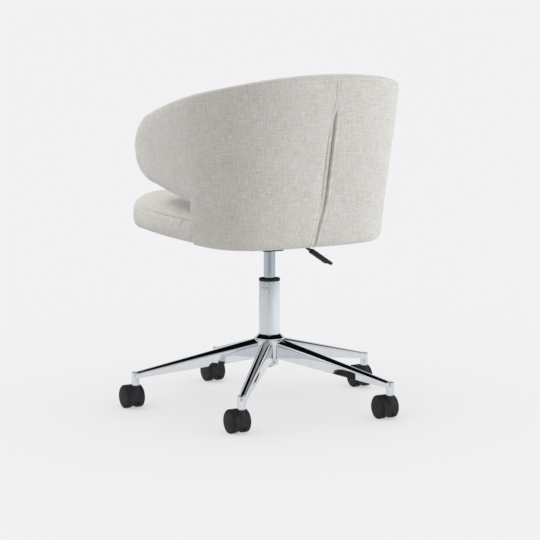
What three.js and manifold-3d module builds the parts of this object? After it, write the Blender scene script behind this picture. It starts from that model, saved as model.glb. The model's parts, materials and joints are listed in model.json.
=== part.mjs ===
// Swivel office chair: a padded barrel shell and seat on a gas lift, a five-leg chromed star and
// hooded twin-wheel casters. Millimetres, +Z up, floor at z = 0. The sitter faces -Y.
import * as THREE from 'three';
import { mergeVertices } from 'three/addons/utils/BufferGeometryUtils.js';
import Module from 'manifold-3d';

const wasm = await Module();
wasm.setup();

// ---- Driving dimensions -------------------------------------------------------------------
const GAP = 0.3; // between pieces that touch
const RUNNING = 0.4; // clearance round what turns or slides
const COLUMN = { x: 10, y: 36 }; // column axis, from the middle of the floor plan

// Star base
const LEGS = 5;
const FIRST_LEG = 48.2; // degrees from +X
const POST_CIRCLE = 322;
const POST = { r: 9.5, bottom: 59, top: 90 };
const LEG_ROOT = { r: 27, width: 29, bottom: 120, top: 168, leastSide: 0.3 };
const LEG_TIP = { r: POST_CIRCLE + 2, width: 19, bottom: 75, top: 90 };
const HUB = { r: 32.5, bottom: 119, shoulder: 168, top: 177, lip: 26.5 };

// Gas lift
const TUBE = { r: 25, bore: 22.8, toe: 21, bottom: 102, toeTop: 119, coneTop: 170, top: 305 };
const TUBE_FLOOR = { r: 18, z: 106.7, coneTop: 140 }; // inside, at the foot of the tube
const BUSH = { bottom: 250, rim: 305.3, lip: 309.5, top: 310.7, r: 25.2, lipR: 24.2 };
const CYLINDER = { r: 14, bore: 11.5, bottom: 190, shoulder: 372, top: 390, tip: 13.4 };
const CHAMBER = { bottom: 198, top: 350, valveSeat: 366 }; // inside the cylinder
const ROD = { r: 4, bottom: 94, top: 298, hole: 4.4 };
const COLLAR = { r: 9, bottom: 112.3, top: 116 }; // on the rod, over the thrust bearing
const PISTON = { r: 11.1, bottom: 290 };
const VALVE = { r: 3, bottom: 374, top: 394.2 };

// Mechanism under the seat
const PAN = { half: 26, wall: 2.6, bottom: 375, top: 409.7, slot: 12 };
const PLATE = { x: 190, y: 200, z: 410, thick: 2.6, bolt: 76, opening: 60 };
const BOLT = { r: 4, hole: 4.3, head: 7, headTall: 6, grip: 10 };
const SOCKET = { r: 18, top: 388 };
const PIVOT = { r: 3, bore: 3.1, hole: 3.3, half: 28 };
const PAST = 60; // how far a cutting tool runs past what it cuts
const LEVER = { z: 398, r: 3.5, boss: 5, bossHalf: 7, pivotX: -17, innerX: 6 };
const LEVER_BEND = { x: -72, round: 0.15, endX: -124, endZ: 363 };
const GRIP = { length: 68, width: 14, thick: 11, tab: 12, step: 4, socket: 12, seated: 10 };

// Upholstery: outline of the shell and seat seen from above
const BOTTOM = 411;
const LEAN = { from: 430, to: 780, power: 1.15 };
const MID = 600; // height at which lengths and normals of the outline are taken
const BACK = { low: 222, high: 289.5 }; // column to the back of the shell
const SIDE = { low: 238, high: 277 }; // half width
const SQUARE = { low: 3.6, high: 2.8 }; // superellipse exponent
const CLOSING = 0.0003; // how the sides draw in towards the front
const WALL = 52; // padded thickness of the shell
const CREST = { z: 810, slope: 0.255, blend: 220 }; // top edge
const ARM = { lower: 503, rise: 0.15, roundFrom: -140, nose: -227, drop: 8, round: 2.4 };
const NOTCH = { open: 13.5, shut: 12 }; // degrees round the plan where the shell's foot ends
const FOOT = { y: 50, z: 465, top: 503, lean: 0.23, spread: 45 }; // rake of the foot's front edge
const SEAT = { front: -345, corner: 70, step: 35, tuck: 54, tuckDraw: 0.3 };

// Inside the seat
const COVER = { z: 413.3, thick: 1.2 };
const TIES = { side: 207, sideY: 110, rear: 198 }; // reach of the steel angles from the column
const BRACKET = { z: 416, thick: 3, width: 40, inner: 60, tall: 475 };
const BOARD = { z: 419.3, thick: 12, inset: 25 };

// Casters
const CASTER = { trail: 20, wheel: 27, web: 7, side: 22, hoodIn: 28.2, hoodOut: 30, axle: 4 };
const HOOD = { front: 165, rear: -38, bossR: 8.6, bossBottom: 33, bossTop: 57, floor: 6 };
const WHEEL_SIDES = 24;
const STEM = { r: 5.2, bottom: 36, top: 86, flange: 8.5, flangeBottom: 57.3, flangeTop: 58.7 };

// ---- Finishes -----------------------------------------------------------------------------
const finish = (color, roughness, metalness) =>
  new THREE.MeshStandardMaterial({ color, roughness, metalness });
const chrome = finish(0xd8dadd, 0.08, 1);
const satin = finish(0xc3c8cb, 0.35, 0.9);
const steel = finish(0x8d949b, 0.3, 1);
const black = finish(0x1c1d1f, 0.5, 0);
const blackSteel = finish(0x17181a, 0.45, 0.4);
const fabric = finish(0xcac6bf, 0.95, 0);
const lining = finish(0x202022, 0.9, 0);
const plywood = finish(0xc9a877, 0.7, 0);

// ---- Geometry helpers ---------------------------------------------------------------------
const chair = new THREE.Group();
chair.position.set(COLUMN.x, COLUMN.y, 0);

function add(name, geometry, material, parent = chair) {
  const mesh = new THREE.Mesh(geometry, material);
  mesh.name = name;
  parent.add(mesh);
  return mesh;
}

// Solid of revolution about +Z from [radius, height] pairs that close on the axis or on themselves.
function turned(profile, sides = 24) {
  const closed = profile[0][0] > 0 ? [...profile, profile[0]] : profile;
  const points = closed.map(([r, z]) => new THREE.Vector2(r, z));
  return new THREE.LatheGeometry(points, sides).rotateX(Math.PI / 2);
}

const rod = (r, bottom, top, sides = 16) => turned([[0, bottom], [r, bottom], [r, top], [0, top]], sides);
const ring = (inner, outer, bottom, top, sides = 24) =>
  turned([[inner, bottom], [outer, bottom], [outer, top], [inner, top]], sides);
const block = (x, y, z, cx, cy, cz) => new THREE.BoxGeometry(x, y, z).translate(cx, cy, cz);

// Closed skin over rings of points, with a fan at each end.
function loft(rings) {
  const count = rings[0].length;
  const position = rings.flat().flatMap((p) => [p.x, p.y, p.z]);
  const index = [];
  for (let i = 0; i + 1 < rings.length; i += 1) {
    for (let j = 0; j < count; j += 1) {
      const next = (j + 1) % count;
      const [a, b] = [i * count + j, i * count + next];
      index.push(a, b, b + count, a, b + count, a + count);
    }
  }
  for (const [row, flip] of [[0, true], [rings.length - 1, false]]) {
    const middle = new THREE.Vector3();
    rings[row].forEach((p) => middle.addScaledVector(p, 1 / count));
    const hub = position.length / 3;
    position.push(middle.x, middle.y, middle.z);
    for (let j = 0; j < count; j += 1) {
      const [a, b] = [row * count + j, row * count + (j + 1) % count];
      index.push(...(flip ? [hub, b, a] : [hub, a, b]));
    }
  }
  const geometry = new THREE.BufferGeometry();
  geometry.setAttribute('position', new THREE.Float32BufferAttribute(position, 3));
  geometry.setIndex(index);
  return geometry;
}

function solid(geometry) {
  const bare = geometry.clone();
  bare.deleteAttribute('normal');
  bare.deleteAttribute('uv');
  const merged = mergeVertices(bare, 1e-4);
  return new wasm.Manifold(new wasm.Mesh({
    numProp: 3,
    vertProperties: new Float32Array(merged.attributes.position.array),
    triVerts: new Uint32Array(merged.index.array),
  }));
}

function shape(manifold) {
  const mesh = manifold.getMesh();
  const geometry = new THREE.BufferGeometry();
  geometry.setAttribute('position', new THREE.Float32BufferAttribute(mesh.vertProperties, 3));
  geometry.setIndex(Array.from(mesh.triVerts));
  return geometry;
}

const join = (...pieces) => shape(pieces.map(solid).reduce((sum, piece) => sum.add(piece)));
const cut = (body, ...tools) =>
  shape(tools.map(solid).reduce((left, tool) => left.subtract(tool), solid(body)));

const radians = THREE.MathUtils.degToRad;
const mix = THREE.MathUtils.lerp;

// ---- Star base ----------------------------------------------------------------------------
function legSection(r) {
  const t = (r - LEG_ROOT.r) / (LEG_TIP.r - LEG_ROOT.r);
  const half = mix(LEG_ROOT.width, LEG_TIP.width, t) / 2;
  const [bottom, top] = [mix(LEG_ROOT.bottom, LEG_TIP.bottom, t), mix(LEG_ROOT.top, LEG_TIP.top, t)];
  const spring = Math.max(top - half, mix(bottom, top, LEG_ROOT.leastSide)); // where the round top starts
  const section = [[half, bottom], [half, spring]];
  for (let angle = 22.5; angle < 180; angle += 22.5) {
    const turn = radians(angle);
    section.push([half * Math.cos(turn), spring + (top - spring) * Math.sin(turn)]);
  }
  section.push([-half, spring], [-half, bottom]);
  return section.map(([y, z]) => new THREE.Vector3(r, y, z));
}

function leg() {
  const arm = loft([LEG_ROOT.r, POST_CIRCLE].map(legSection));
  const post = rod(POST.r, POST.bottom, POST.top, 20).translate(POST_CIRCLE, 0, 0);
  const bore = rod(STEM.r + RUNNING, POST.bottom - 1, STEM.top + 1, 12).translate(POST_CIRCLE, 0, 0);
  const hub = rod(HUB.r + GAP, LEG_ROOT.bottom - PAST, LEG_ROOT.top + PAST, 48);
  return cut(join(arm, post), bore, hub);
}

const legShape = leg();
const legAngle = (i) => radians(FIRST_LEG + (i * 360) / LEGS);
for (let i = 0; i < LEGS; i += 1) {
  add(`base_leg_${i + 1}`, legShape, chrome).rotation.z = legAngle(i);
}
add('base_hub', turned([
  [TUBE.toe + RUNNING, HUB.bottom], [HUB.r, HUB.bottom], [HUB.r, HUB.shoulder], [HUB.lip, HUB.top],
  [TUBE.r + RUNNING, HUB.top], [TUBE.r + RUNNING, TUBE.coneTop],
], 32), chrome);

// ---- Gas lift -----------------------------------------------------------------------------
add('column_tube', turned([
  [ROD.hole, TUBE.bottom], [TUBE.toe, TUBE.bottom], [TUBE.toe, TUBE.toeTop], [TUBE.r, TUBE.coneTop],
  [TUBE.r, TUBE.top], [TUBE.bore, TUBE.top], [TUBE.bore, TUBE_FLOOR.coneTop], [TUBE_FLOOR.r, TUBE_FLOOR.z],
  [ROD.hole, TUBE_FLOOR.z],
]), satin);
add('column_bush', turned([
  [CYLINDER.r + RUNNING, BUSH.bottom], [TUBE.bore - GAP, BUSH.bottom], [TUBE.bore - GAP, BUSH.rim],
  [BUSH.r, BUSH.rim], [BUSH.r, BUSH.lip], [BUSH.lipR, BUSH.top], [CYLINDER.r + RUNNING, BUSH.top],
]), black);
add('thrust_bearing', ring(ROD.hole, 12, 107, 112, 16), steel);
add('rod_washer', ring(ROD.hole, 12, 98.5, 101.7, 16), steel);
add('rod_clip', ring(ROD.hole, 8, 96, 98.2, 12), steel);
add('piston_rod', turned([
  [0, ROD.bottom], [ROD.r, ROD.bottom], [ROD.r, COLLAR.bottom], [COLLAR.r, COLLAR.bottom],
  [COLLAR.r, COLLAR.top], [ROD.r, COLLAR.top], [ROD.r, PISTON.bottom], [PISTON.r, PISTON.bottom],
  [PISTON.r, ROD.top], [0, ROD.top],
], 16), steel);
add('gas_cylinder', turned([
  [0, CHAMBER.top], [CYLINDER.bore, CHAMBER.top], [CYLINDER.bore, CHAMBER.bottom],
  [ROD.hole, CHAMBER.bottom], [ROD.hole, CYLINDER.bottom],
  [CYLINDER.r, CYLINDER.bottom], [CYLINDER.r, CYLINDER.shoulder], [CYLINDER.tip, CYLINDER.top],
  [VALVE.r + GAP, CYLINDER.top], [VALVE.r + GAP, CHAMBER.valveSeat], [0, CHAMBER.valveSeat],
]), steel);
add('valve_pin', rod(VALVE.r, VALVE.bottom, VALVE.top, 12), steel);

// ---- Mechanism ----------------------------------------------------------------------------
const boltSpots = [[1, 1], [-1, 1], [-1, -1], [1, -1]].map(([x, y]) => [x * PLATE.bolt, y * PLATE.bolt]);
const boltHoles = () => boltSpots.map(([x, y]) => (
  rod(BOLT.hole, PLATE.z - PAST, PLATE.z + PAST, 12).translate(x, y, 0)));
const crossPin = (r, half) => (
  rod(r, -half, half, 12).rotateX(Math.PI / 2).translate(LEVER.pivotX, 0, LEVER.z));

function pan() {
  const side = 2 * PAN.half;
  const middle = (PAN.bottom + PAN.top) / 2;
  const shell = block(side, side, PAN.top - PAN.bottom, 0, 0, middle);
  const inside = side - 2 * PAN.wall;
  const hollow = block(inside, inside, PAST, 0, 0, PAN.bottom + PAN.wall + PAST / 2);
  const mouth = rod(CYLINDER.r + RUNNING, PAN.bottom - 5, PAN.bottom + 10, 24);
  const slot = block(PAN.slot, PAN.slot, PAST, -PAN.half, 0, LEVER.z + (PAST - PAN.slot) / 2);
  return cut(shell, hollow, mouth, slot, crossPin(PIVOT.hole, PAST));
}

add('mechanism_pan', pan(), blackSteel);
add('mechanism_plate', cut(
  block(PLATE.x, PLATE.y, PLATE.thick, 0, 0, PLATE.z + PLATE.thick / 2),
  block(PLATE.opening, PLATE.opening, 20, 0, 0, PLATE.z),
  ...boltHoles(),
), blackSteel);
const socketBottom = PAN.bottom + PAN.wall + GAP;
add('cone_socket', ring(CYLINDER.r + RUNNING, SOCKET.r, socketBottom, SOCKET.top, 24), steel);
add('lever_pivot', crossPin(PIVOT.r, PIVOT.half), steel);
boltSpots.forEach(([x, y], i) => {
  const head = rod(BOLT.head, PLATE.z - BOLT.headTall, PLATE.z - GAP, 6);
  const shank = rod(BOLT.r, PLATE.z - 1, BOARD.z + BOLT.grip, 12);
  add(`plate_bolt_${i + 1}`, join(head, shank).translate(x, y, 0), steel);
});

function leverRod() {
  const route = new THREE.CurvePath();
  const points = [[LEVER.innerX, LEVER.z], [LEVER_BEND.x, LEVER.z], [LEVER_BEND.endX, LEVER_BEND.endZ]];
  const [start, bend, end] = points.map(([x, z]) => new THREE.Vector3(x, 0, z));
  const before = bend.clone().lerp(start, LEVER_BEND.round);
  const after = bend.clone().lerp(end, LEVER_BEND.round);
  route.add(new THREE.LineCurve3(start, before));
  route.add(new THREE.QuadraticBezierCurve3(before, bend, after));
  route.add(new THREE.LineCurve3(after, end));
  const section = new THREE.Shape().absarc(0, 0, LEVER.r, 0, 2 * Math.PI);
  const bar = new THREE.ExtrudeGeometry(section, { extrudePath: route, steps: 8, curveSegments: 4 });
  return cut(join(bar, crossPin(LEVER.boss, LEVER.bossHalf)), crossPin(PIVOT.bore, PIVOT.half));
}

function leverGrip() {
  const { length, width, thick, tab, step, socket: depth } = GRIP;
  const outline = new THREE.Shape();
  outline.moveTo(0, -thick / 2).lineTo(length, -thick / 2).lineTo(length, thick / 2 - step);
  outline.lineTo(length - tab, thick / 2 - step).lineTo(length - tab - 2, thick / 2).lineTo(0, thick / 2);
  const paddle = new THREE.ExtrudeGeometry(outline, { depth: width, bevelEnabled: false });
  paddle.translate(0, 0, -width / 2).rotateX(Math.PI / 2);
  const socket = rod(LEVER.r + GAP, -depth, depth, 16).rotateY(Math.PI / 2);
  return cut(paddle, socket);
}

add('lever_rod', leverRod(), blackSteel);
const grip = add('lever_grip', leverGrip(), black);
const gripSlope = Math.atan2(LEVER.z - LEVER_BEND.endZ, LEVER_BEND.x - LEVER_BEND.endX);
const seated = new THREE.Vector3(Math.cos(gripSlope), 0, Math.sin(gripSlope)).multiplyScalar(GRIP.seated);
grip.position.set(LEVER_BEND.endX, 0, LEVER_BEND.endZ).add(seated);
grip.rotation.y = Math.PI - gripSlope;

// ---- Upholstery ---------------------------------------------------------------------------
const leanPart = (z) => THREE.MathUtils.clamp((z - LEAN.from) / (LEAN.to - LEAN.from), 0, 1);
const leanAt = (z) => 1 - (1 - leanPart(z)) ** LEAN.power;
const across = (size, z) => mix(size.low, size.high, leanAt(z));

// Outer face of the shell at height z. A station is an angle round the back (90 at the middle,
// 0 at the side), and below zero a distance forward of the column.
function outer(station, z) {
  const [half, back, n] = [across(SIDE, z), across(BACK, z), across(SQUARE, z)];
  if (station < 0) return new THREE.Vector3(half - CLOSING * station ** 2, station, z);
  const [c, s] = [Math.cos(radians(station)), Math.sin(radians(station))];
  const reach = (Math.abs(c) ** n + s ** n) ** (1 / n);
  const y = (back * s) / reach;
  const rake = FOOT.lean * (Math.min(z, FOOT.top) - FOOT.z) * Math.exp(-(((y - FOOT.y) / FOOT.spread) ** 2));
  return new THREE.Vector3((half * c) / reach, y + rake, z);
}

function inward(station) {
  const step = 0.5;
  const along = outer(station + step, MID).sub(outer(station - step, MID));
  return new THREE.Vector3(along.y, -along.x, 0).normalize().negate();
}

const stations = [];
for (let angle = 90; angle > 18; angle -= 6) stations.push(angle);
stations.push(18, 15.5, NOTCH.open, 13, 12.5, NOTCH.shut, 9, 5, 1);
for (let y = -20; y > ARM.roundFrom; y -= 30) stations.push(y);
for (const part of [0, 0.25, 0.5, 0.7, 0.85, 0.95, 0.99]) {
  stations.push(mix(ARM.roundFrom, ARM.nose, part));
}

// Length along the shell from the middle of the back, at mid height.
const lengths = stations.map(() => 0);
for (let i = 1; i < stations.length; i += 1) {
  lengths[i] = lengths[i - 1] + outer(stations[i], MID).distanceTo(outer(stations[i - 1], MID));
}

function span(i) {
  const station = stations[i];
  const crest = CREST.z - CREST.slope * (Math.hypot(lengths[i], CREST.blend) - CREST.blend);
  const y = outer(station, ARM.lower).y;
  const arm = ARM.lower + ARM.rise * (FOOT.y - y);
  const foot = THREE.MathUtils.smoothstep(-station, -NOTCH.open, -NOTCH.shut);
  const part = Math.max(0, (ARM.roundFrom - station) / (ARM.roundFrom - ARM.nose));
  const low = mix(BOTTOM, arm, foot);
  const middle = (low + crest) / 2 - ARM.drop * part;
  const half = ((crest - low) / 2) * (1 - part ** ARM.round) ** (1 / ARM.round);
  return { low: middle - half, high: middle + half, wall: WALL * Math.sqrt(1 - part ** 4) };
}

function shellSection(i) {
  const { low, high, wall } = span(i);
  const round = Math.min(wall / 2, (high - low) / 2);
  const [lowest, highest] = [low + round, high - round];
  const spots = [];
  for (let k = 0; k <= 7; k += 1) spots.push([0, mix(lowest, highest, k / 7)]);
  for (let k = 1; k < 6; k += 1) {
    const turn = (Math.PI * k) / 6;
    spots.push([(wall / 2) * (1 - Math.cos(turn)), highest + round * Math.sin(turn)]);
  }
  for (let k = 0; k <= 5; k += 1) spots.push([wall, mix(highest, lowest, k / 5)]);
  for (let k = 1; k < 6; k += 1) {
    const turn = (Math.PI * k) / 6;
    spots.push([(wall / 2) * (1 + Math.cos(turn)), lowest - round * Math.sin(turn)]);
  }
  return spots.map(([depth, z]) => outer(stations[i], z).addScaledVector(inward(stations[i]), depth));
}

const mirrored = (points) => points.map((p) => new THREE.Vector3(-p.x, p.y, p.z));
const halfShell = stations.map((_, i) => shellSection(i));
const otherHalf = halfShell.slice(1).reverse().map(mirrored);
const backShell = loft([...otherHalf, ...halfShell]);

// Outline of the seat, drawn in by inset: wide in front of the shell's foot, narrow inside it.
function seatOutline(inset, z) {
  const half = [];
  const radius = SEAT.corner - inset;
  const cornerY = SEAT.front + SEAT.corner;
  const cornerX = SIDE.low - CLOSING * cornerY ** 2 - SEAT.corner;
  for (let angle = -90; angle <= 0; angle += 15) {
    half.push([cornerX + radius * Math.cos(radians(angle)), cornerY + radius * Math.sin(radians(angle))]);
  }
  const step = SEAT.step - inset;
  for (const part of [0.25, 0.5, 0.75, 1]) {
    const y = mix(cornerY, step, part);
    half.push([SIDE.low - CLOSING * y ** 2 - inset, y]);
  }
  const tuck = SEAT.tuck + SEAT.tuckDraw * inset;
  const [wide, deep, n] = [across(SIDE, z) - tuck, across(BACK, z) - tuck, across(SQUARE, z)];
  half.push([wide, step]);
  for (let angle = 30; angle <= 90; angle += 10) {
    const [c, s] = [Math.cos(radians(angle)), Math.sin(radians(angle))];
    const reach = (Math.abs(c) ** n + s ** n) ** (1 / n);
    half.push([(wide * c) / reach, Math.max((deep * s) / reach, step + 1)]);
  }
  const other = half.slice(0, -1).reverse().map(([x, y]) => [-x, y]);
  return [...half, ...other].map(([x, y]) => new THREE.Vector3(x, y, z));
}

const pocket = BOARD.inset - GAP;
const seatBody = loft([
  [pocket, BOARD.z + BOARD.thick + GAP], [pocket, BOTTOM], [18, BOTTOM], [7, 417], [0, 432], [0, 462],
  [7, 479], [20, 492], [42, 501], [78, 506.5],
].map(([inset, z]) => seatOutline(inset, z)));

// Steel angles that tie the shell to the seat board, and the pockets they sit in.
function bracket(reach, extra = 0) {
  const { z, thick, width, inner, tall } = BRACKET;
  const outline = new THREE.Shape();
  outline.moveTo(inner - extra, z - extra).lineTo(reach + extra, z - extra);
  outline.lineTo(reach + extra, tall + extra).lineTo(reach - thick - extra, tall + extra);
  outline.lineTo(reach - thick - extra, z + thick + extra).lineTo(inner - extra, z + thick + extra);
  const depth = width + 2 * extra;
  const angle = new THREE.ExtrudeGeometry(outline, { depth, bevelEnabled: false });
  return angle.translate(0, 0, -depth / 2).rotateX(Math.PI / 2);
}

const ties = [
  { name: 'shell_bracket_left', turn: 0, reach: TIES.side, y: TIES.sideY },
  { name: 'shell_bracket_right', turn: Math.PI, reach: TIES.side, y: TIES.sideY },
  { name: 'shell_bracket_rear', turn: Math.PI / 2, reach: TIES.rear, y: 0 },
];
const placed = ({ turn, reach, y }, extra) => bracket(reach, extra).rotateZ(turn).translate(0, y, 0);
const tiePockets = ties.map((tie) => placed(tie, GAP));
ties.forEach((tie) => add(tie.name, placed(tie, 0), steel));

add('back_shell', cut(backShell, ...tiePockets), fabric);
add('seat_cushion', cut(seatBody, ...tiePockets), fabric);
const slab = (inset, bottom, thick) => loft([bottom, bottom + thick].map((z) => seatOutline(inset, z)));
add('seat_board', cut(slab(BOARD.inset, BOARD.z, BOARD.thick), ...boltHoles()), plywood);
add('dust_cover', cut(slab(BOARD.inset, COVER.z, COVER.thick), ...boltHoles()), lining);

// ---- Casters ------------------------------------------------------------------------------
// Each is drawn with its stem on the local axis, its axle along X and its wheels trailing to -Y.
function hood() {
  const outline = new THREE.Shape();
  outline.absarc(0, 0, CASTER.hoodOut, radians(HOOD.rear), radians(HOOD.front), false);
  outline.absarc(0, 0, CASTER.hoodIn, radians(HOOD.front), radians(HOOD.rear), true);
  const width = 2 * CASTER.side - 1;
  const arch = new THREE.ExtrudeGeometry(outline, { depth: width, bevelEnabled: false, curveSegments: 11 });
  return arch.translate(0, 0, -width / 2);
}

function casterBody() {
  const web = rod(CASTER.hoodIn + 0.8, -CASTER.web, CASTER.web, 20);
  const flat = (geometry) => geometry.applyMatrix4(new THREE.Matrix4().set(
    0, 0, 1, 0,
    1, 0, 0, -CASTER.trail,
    0, 1, 0, CASTER.wheel,
    0, 0, 0, 1,
  ));
  const boss = rod(HOOD.bossR, HOOD.bossBottom, HOOD.bossTop, 12);
  const axleHole = flat(rod(CASTER.axle + GAP, -PAST, PAST, 8));
  const stemHole = rod(STEM.r + RUNNING, STEM.bottom - 1, PAST, 10);
  const notch = block(2 * CASTER.web, 14, 9, 0, 8, 10);
  const floorRelief = block(2 * PAST, 2 * PAST, 2 * HOOD.floor, 0, -CASTER.trail, 0);
  const body = join(flat(web), flat(hood()), boss);
  const wheelRoom = [-1, 1].map((side) => flat(
    rod(CASTER.hoodIn - 0.1, CASTER.web, CASTER.side + 1, 24).rotateX(side < 0 ? Math.PI : 0),
  ));
  return cut(body, ...wheelRoom, axleHole, stemHole, notch, floorRelief);
}

// Wheel with a flat facet down, so that it stands on it. side is +1 or -1 along X.
function wheel(side) {
  const rim = CASTER.wheel / Math.cos(Math.PI / WHEEL_SIDES);
  const [inner, face, bore] = [CASTER.web + 2 * GAP, CASTER.side, CASTER.axle + 0.1];
  const profile = [[bore, inner], [rim, inner], [rim, face], [bore, face]];
  const drum = turned(profile, WHEEL_SIDES).rotateZ(Math.PI / WHEEL_SIDES);
  return drum.rotateY((side * Math.PI) / 2).translate(0, -CASTER.trail, CASTER.wheel);
}

const bodyShape = casterBody();
const wheelShapes = { left: wheel(1), right: wheel(-1) };
const axleShape = rod(CASTER.axle, -CASTER.side + 1, CASTER.side - 1, 8)
  .rotateY(Math.PI / 2).translate(0, -CASTER.trail, CASTER.wheel);
const stemShape = turned([
  [0, STEM.bottom], [STEM.r, STEM.bottom], [STEM.r, STEM.flangeBottom], [STEM.flange, STEM.flangeBottom],
  [STEM.flange, STEM.flangeTop], [STEM.r, STEM.flangeTop], [STEM.r, STEM.top], [0, STEM.top],
], 10);
for (let i = 0; i < LEGS; i += 1) {
  const caster = new THREE.Group();
  caster.position.set(POST_CIRCLE * Math.cos(legAngle(i)), POST_CIRCLE * Math.sin(legAngle(i)), 0);
  chair.add(caster);
  add(`caster_stem_${i + 1}`, stemShape, steel, caster);
  add(`caster_hood_${i + 1}`, bodyShape, black, caster);
  add(`caster_axle_${i + 1}`, axleShape, steel, caster);
  add(`caster_wheel_left_${i + 1}`, wheelShapes.left, black, caster);
  add(`caster_wheel_right_${i + 1}`, wheelShapes.right, black, caster);
}

export default chair;
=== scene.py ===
import json
import math
from contextlib import contextmanager

import bmesh
import bpy
from mathutils import Matrix, Vector

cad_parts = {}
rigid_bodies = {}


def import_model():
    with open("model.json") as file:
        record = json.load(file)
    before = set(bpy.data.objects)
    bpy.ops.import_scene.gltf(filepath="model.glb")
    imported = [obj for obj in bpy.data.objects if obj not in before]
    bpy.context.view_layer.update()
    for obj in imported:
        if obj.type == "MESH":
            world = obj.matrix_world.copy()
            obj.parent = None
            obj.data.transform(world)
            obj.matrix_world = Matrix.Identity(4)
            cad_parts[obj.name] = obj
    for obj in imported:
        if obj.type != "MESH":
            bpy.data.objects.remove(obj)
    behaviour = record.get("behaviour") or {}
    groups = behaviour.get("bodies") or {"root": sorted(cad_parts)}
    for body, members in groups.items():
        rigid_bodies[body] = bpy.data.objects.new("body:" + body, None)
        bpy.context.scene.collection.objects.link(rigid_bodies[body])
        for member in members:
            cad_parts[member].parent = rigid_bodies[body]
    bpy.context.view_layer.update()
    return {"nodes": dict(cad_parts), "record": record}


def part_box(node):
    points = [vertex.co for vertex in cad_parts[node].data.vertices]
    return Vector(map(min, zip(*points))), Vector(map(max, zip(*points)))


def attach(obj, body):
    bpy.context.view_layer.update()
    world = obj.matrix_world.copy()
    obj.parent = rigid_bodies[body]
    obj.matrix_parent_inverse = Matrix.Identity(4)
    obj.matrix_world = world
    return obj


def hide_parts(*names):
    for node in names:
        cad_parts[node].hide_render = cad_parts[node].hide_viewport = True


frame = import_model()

MM = 0.001


def middle(node):
    low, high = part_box(node)
    return (low + high) / 2


COLUMN = middle("column_tube")
AXIS = Vector((COLUMN.x, COLUMN.y, 0))

# ---- Camera, floor and light ----
CAMERA_TURN = 30.5  # degrees from straight behind the chair, towards the sitter's left
CAMERA_AWAY = 5.137
CAMERA_HEIGHT = 1.0884
CAMERA_TILT = 8.4
CAMERA_SIDE = 0.0012
CAMERA_LENS = 145.0
BACKDROP = (0.880, 0.880, 0.896, 1)
EVEN_LIGHT = 0.9
TURN = math.radians(CAMERA_TURN)
BACKWARDS = Vector((math.sin(TURN), math.cos(TURN), 0))  # from the chair towards the camera
RIGHTWARDS = Vector((-math.cos(TURN), math.sin(TURN), 0))
LAMP_AIM = Vector((0, 0, 0.45))
KEY = {"right": 3.3, "back": 0.7, "up": 0.75, "size": (2.2, 2.0), "power": 82}
KEY_COLOUR = (0.93, 0.97, 1.0)
FRONT = {"place": (0.6, -2.4, 2.0), "size": (0.8, 0.8), "power": 6.5, "spread": 60}
FLOOR = {"side": 120, "level": 0.46, "glow": 0.478}  # the floor partly glows, painted light that keeps shadows on it pale
# grey card: glows and is seen only in mirrored rays, a painted reflection in the upright metal
GREY_CARD = {"away": 1.2, "up": 0.3, "size": (1.8, 0.6), "level": 0.62}
# black card: a dark sheet under the seat seen only in mirrored rays, painted shade in the base's
# reflections
BLACK_CARD = {"up": 0.345, "size": (0.7, 0.7), "level": 0.004}
# (how far up, brightness) and (how much towards the camera, brightness) in what the metal mirrors
CEILING = ((0.0, 0.90), (0.30, 1.0), (0.44, 0.9), (0.50, 0.03), (0.92, 0.01), (0.96, 0.3))
DIM_WALL = ((0.0, 0.8), (0.55, 1.0), (0.84, 0.9), (0.93, 0.25), (1.0, 0.15))


class Nodes:
    """Short names for making the nodes of a material or of the world."""

    def __init__(self, name, library=bpy.data.materials):
        self.owner = library.new(name)
        self.owner.use_nodes = True
        self.tree = self.owner.node_tree
        self.shader = self.tree.nodes.get("Principled BSDF")

    def add(self, kind, inputs=None, **settings):
        node = self.tree.nodes.new("ShaderNode" + kind)
        for key, value in settings.items():
            setattr(node, key, value)
        for key, value in (inputs or {}).items():
            self.feed(node.inputs[key], value)
        return node

    def feed(self, socket, value):
        if isinstance(value, bpy.types.NodeSocket):
            self.tree.links.new(value, socket)
        else:
            socket.default_value = value

    def set(self, **values):
        for key, value in values.items():
            self.feed(self.shader.inputs[key.replace("_", " ")], value)

    def noise(self, place, scale, detail=2.0, rough=0.5):
        inputs = {"Vector": place, "Scale": scale, "Detail": detail, "Roughness": rough}
        return self.add("TexNoise", inputs).outputs["Fac"]

    def ramp(self, value, *stops):
        node = self.add("ValToRGB", {"Fac": value})
        ramp = node.color_ramp
        while len(ramp.elements) < len(stops):
            ramp.elements.new(0.5)
        for element, (position, colour) in zip(ramp.elements, stops):
            element.position = position
            element.color = (*colour, 1) if len(colour) == 3 else colour
        return node.outputs["Color"]

    def math(self, operation, a, b=0.0):
        node = self.add("Math", operation=operation)
        self.feed(node.inputs[0], a)
        self.feed(node.inputs[1], b)
        return node.outputs[0]

    def total(self, *parts):
        """Sum of values, each times its factor."""
        scaled = [self.math("MULTIPLY", value, factor) for value, factor in parts]
        whole = scaled[0]
        for part in scaled[1:]:
            whole = self.math("ADD", whole, part)
        return whole

    def bands(self, place, direction):
        node = self.add("TexWave", {"Vector": place, "Scale": 150.0, "Distortion": 0.8})
        node.bands_direction = direction
        return node.outputs["Fac"]

    def scaled(self, place, factors):
        return self.add("Mapping", {"Vector": place, "Scale": factors}).outputs["Vector"]

    def bump(self, height, distance, strength=1.0, under=None):
        node = self.add("Bump", {"Height": height, "Distance": distance, "Strength": strength})
        if under is not None:
            self.feed(node.inputs["Normal"], under)
        return node.outputs["Normal"]

    def place(self):
        return self.add("TexCoord").outputs["Object"]


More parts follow.
